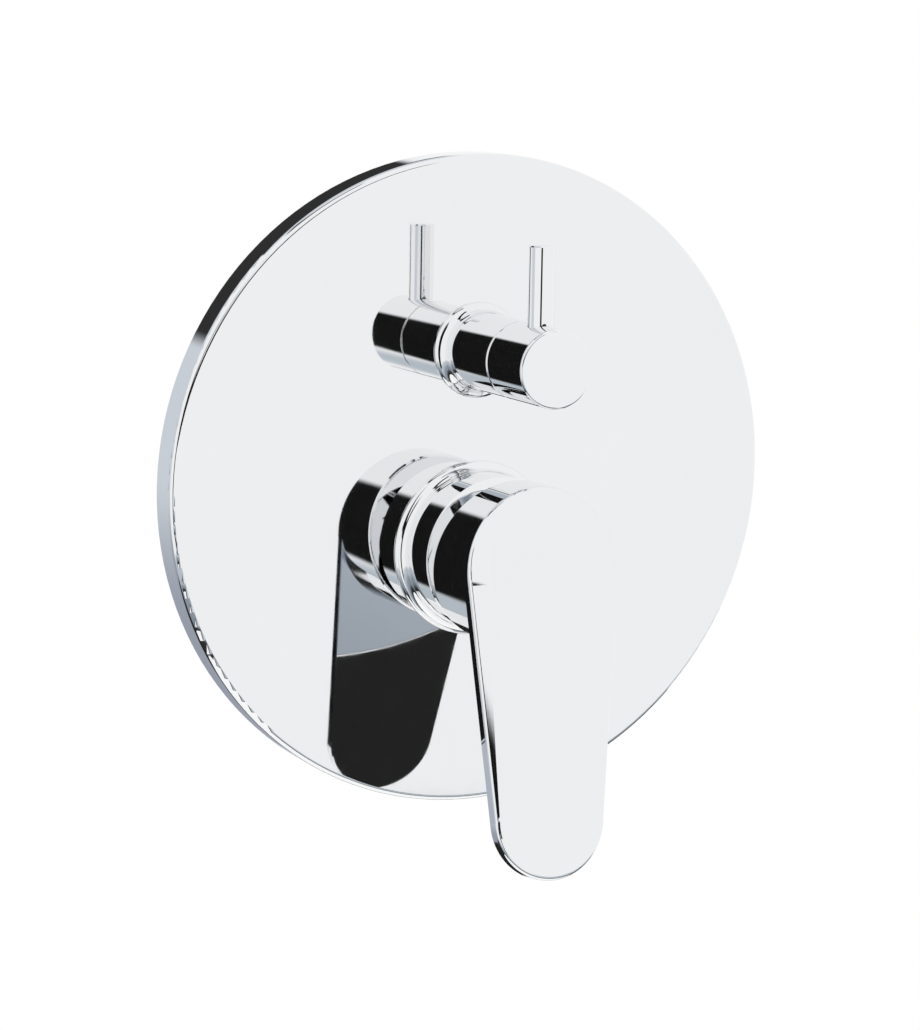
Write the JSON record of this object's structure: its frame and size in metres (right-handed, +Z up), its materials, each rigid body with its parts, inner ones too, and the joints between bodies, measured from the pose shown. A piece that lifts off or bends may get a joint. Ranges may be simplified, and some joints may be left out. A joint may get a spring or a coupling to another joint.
{
  "type": "concealed_shower_mixer",
  "caption": "Concealed shower mixer: round chrome wall plate with a single-lever mixer below and a pin-handled diverter knob above, on a brass valve body behind the wall",
  "frame": {"origin": "Centre of the wall plate on the finished wall plane", "axes": "+Z up, -Y out of the wall towards the user, +X to the user's right when facing the wall"},
  "size_m": [0.2, 0.1331, 0.2098],
  "materials": {
    "chrome": "polished chrome plate",
    "brass": "cast and machined brass",
    "steel": "turned stainless steel",
    "ceramic": "lapped ceramic",
    "white_plastic": "moulded engineering plastic",
    "grey_plastic": "moulded engineering plastic",
    "rubber": "black rubber"
  },
  "bodies": {
    "base": {"wall_plate": "chrome", "plate_gasket": "rubber", "mixer_sleeve": "chrome", "mixer_sleeve_ring": "rubber", "diverter_sleeve": "chrome", "diverter_sleeve_ring": "rubber", "valve_body": "brass", "body_screws": "steel", "cartridge_base": "white_plastic", "cartridge_seals": "rubber", "fixed_disc": "ceramic", "cartridge_housing": "white_plastic", "clamp_nut": "brass", "diverter_housing": "brass", "diverter_housing_ring": "rubber", "diverter_port_seals": "rubber", "diverter_fixed_disc": "ceramic"},
    "rotor": {"cartridge_rotor": "grey_plastic", "pivot_pin": "steel"},
    "lever": {"lever_handle": "chrome", "lever_stem": "steel", "lever_grub_screw": "steel", "lever_screw_cap": "chrome"},
    "carrier": {"disc_carrier": "grey_plastic", "moving_disc": "ceramic"},
    "diverter": {"diverter_knob": "chrome", "diverter_pin": "chrome", "diverter_spindle": "brass", "diverter_spindle_ring": "rubber", "diverter_moving_disc": "ceramic"}
  },
  "joints": [
    {"name": "temperature_turn", "type": "hinge", "parent": "base", "child": "rotor", "pos_m": [0, -0.02, -0.0205], "axis": [0, 1, 0], "range_deg": [-48, 42]},
    {"name": "lever_lift", "type": "hinge", "parent": "rotor", "child": "lever", "pos_m": [0, -0.02, -0.0205], "axis": [-0.9986, 0, 0.0523], "range_deg": [0, 19]},
    {"name": "disc_slide", "type": "slide", "parent": "rotor", "child": "carrier", "axis": [-0.0523, 0, -0.9986], "range_m": [0, 0.00555]},
    {"name": "diverter_turn", "type": "hinge", "parent": "base", "child": "diverter", "pos_m": [0, -0.0516, 0.0405], "axis": [0, 1, 0], "range_deg": [-50, 50]}
  ],
  "couplings": [
    {"joint": "disc_slide", "follows": "lever_lift", "m_per_rad": 0.016425}
  ]
}
